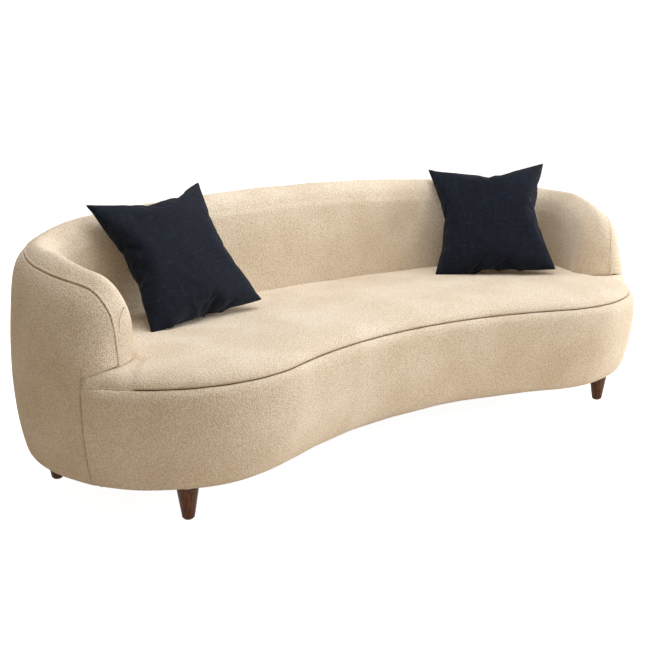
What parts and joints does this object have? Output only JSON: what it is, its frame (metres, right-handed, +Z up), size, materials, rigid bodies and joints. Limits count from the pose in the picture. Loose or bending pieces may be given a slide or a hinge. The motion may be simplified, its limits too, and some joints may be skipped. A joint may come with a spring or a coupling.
{
  "type": "curved sofa",
  "caption": "Curved upholstered sofa with a bean-shaped seat, a wraparound back that becomes both arms, turned wooden legs and loose scatter cushions.",
  "frame": {"origin": "on the floor, under the middle of the sofa's bounding box", "axes": "+X to the right of someone looking at the front, -Y to the front, +Z up"},
  "size_m": [2.2994, 0.9049, 0.8103],
  "materials": {
    "plywood": "raw",
    "beech": "planed",
    "fibreboard": "matte",
    "spring_steel": "oiled",
    "plated_steel": "zinc plated",
    "webbing": "woven",
    "felt": "felted",
    "padding": "open-cell foam",
    "boucle": "nubby loop weave",
    "walnut": "satin lacquer",
    "nylon": "smooth",
    "black_cloth": "non-woven",
    "navy_cloth": "slub linen weave",
    "cushion_fibre": "fibre fill"
  },
  "bodies": {
    "sofa": {"arm_foam_left": "padding", "arm_foam_right": "padding", "arm_rail_left": "plywood", "arm_rail_right": "plywood", "arm_uprights_left": "beech", "arm_uprights_right": "beech", "back_foam": "padding", "back_lower_posts": "beech", "back_top_rail": "plywood", "back_uprights": "beech", "back_webbing": "webbing", "base_rail_ring": "beech", "base_ring_plate": "plywood", "cross_rails": "beech", "dust_cover": "black_cloth", "dust_cover_staples": "plated_steel", "front_board": "fibreboard", "front_border_cover": "boucle", "front_border_padding": "padding", "front_posts": "beech", "leg_bolts": "plated_steel", "leg_front_left": "walnut", "leg_front_right": "walnut", "leg_glides": "nylon", "leg_plate_screws": "plated_steel", "leg_plates": "plated_steel", "leg_rear_left": "walnut", "leg_rear_right": "walnut", "outer_back_board": "fibreboard", "outer_padding": "padding", "outside_cover": "boucle", "rim_and_inside_cover": "boucle", "rim_seam_welt": "boucle", "seat_cover": "boucle", "seat_felt_pad": "felt", "seat_foam": "padding", "seat_ring_plate": "plywood", "seat_seam_welt": "boucle", "seat_springs": "spring_steel", "spring_clips": "plated_steel", "spring_tie_wires": "spring_steel"},
    "left_cushion": {"cushion_left_cover": "navy_cloth", "cushion_left_filling": "cushion_fibre"},
    "right_cushion": {"cushion_right_cover": "navy_cloth", "cushion_right_filling": "cushion_fibre"}
  },
  "joints": [
    {"name": "left_cushion_lift", "type": "slide", "parent": "sofa", "child": "left_cushion", "axis": [0, 0, 1], "range_m": [0, 0.4]},
    {"name": "right_cushion_lift", "type": "slide", "parent": "sofa", "child": "right_cushion", "axis": [0, 0, 1], "range_m": [0, 0.4]}
  ]
}
